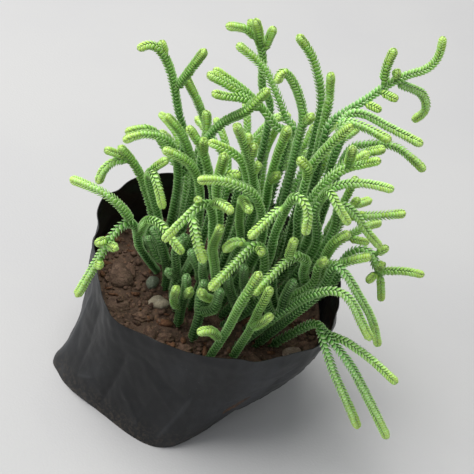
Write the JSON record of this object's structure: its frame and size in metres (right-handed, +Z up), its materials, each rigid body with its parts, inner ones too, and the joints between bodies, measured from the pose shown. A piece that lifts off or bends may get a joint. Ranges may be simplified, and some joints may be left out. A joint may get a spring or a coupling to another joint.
{
  "type": "potted watch chain plant",
  "caption": "Watch chain plant: upright and trailing leafy stems of overlapping scale leaves, rooted in potting soil in a soft black polythene nursery bag.",
  "frame": {"origin": "middle of the underside of the bag's base, on the ground", "axes": "+Z up; the base's long side is turned 64.5 degrees from +X towards +Y"},
  "size_m": [0.1465, 0.1134, 0.1617],
  "materials": {
    "black_polythene": "soft crumpled polythene film, satin, dusty",
    "potting_mix": "moist crumbly potting mix",
    "scale_leaves": "overlapping fleshy scale leaves, satin",
    "pebble_pale": "dry, dusty, rough",
    "pebble_greenish": "dry, dusty, rough",
    "clod_large": "dry, dusty, rough",
    "clod_left": "dry, dusty, rough",
    "pebble_right": "dry, dusty, rough"
  },
  "bodies": {
    "root": {"grow_bag": "black_polythene", "potting_soil": "potting_mix", "pebble_pale": "pebble_pale", "pebble_greenish": "pebble_greenish", "clod_large": "clod_large", "clod_left": "clod_left", "pebble_right": "pebble_right", "stem_01": "scale_leaves", "stem_02": "scale_leaves", "stem_03": "scale_leaves", "stem_04": "scale_leaves", "stem_05": "scale_leaves", "stem_06": "scale_leaves", "stem_07": "scale_leaves", "stem_08": "scale_leaves", "stem_09": "scale_leaves", "stem_10": "scale_leaves", "stem_11": "scale_leaves", "stem_12": "scale_leaves", "stem_13": "scale_leaves", "stem_14": "scale_leaves", "stem_15": "scale_leaves", "stem_16": "scale_leaves", "stem_17": "scale_leaves", "stem_18": "scale_leaves", "stem_19": "scale_leaves", "stem_20": "scale_leaves", "stem_21": "scale_leaves", "stem_22": "scale_leaves", "stem_23": "scale_leaves", "stem_24": "scale_leaves", "stem_25": "scale_leaves", "stem_26": "scale_leaves", "stem_27": "scale_leaves", "stem_28": "scale_leaves", "stem_29": "scale_leaves", "stem_30": "scale_leaves", "stem_31": "scale_leaves", "stem_32": "scale_leaves", "stem_33": "scale_leaves", "stem_34": "scale_leaves", "stem_35": "scale_leaves", "stem_36": "scale_leaves", "stem_37": "scale_leaves", "stem_38": "scale_leaves", "stem_39": "scale_leaves", "stem_40": "scale_leaves", "stem_41": "scale_leaves", "stem_42": "scale_leaves", "stem_43": "scale_leaves", "stem_44": "scale_leaves", "stem_45": "scale_leaves", "stem_46": "scale_leaves", "stem_47": "scale_leaves", "stem_48": "scale_leaves", "stem_49": "scale_leaves", "stem_50": "scale_leaves", "stem_51": "scale_leaves", "stem_52": "scale_leaves", "stem_53": "scale_leaves"}
  },
  "joints": []
}
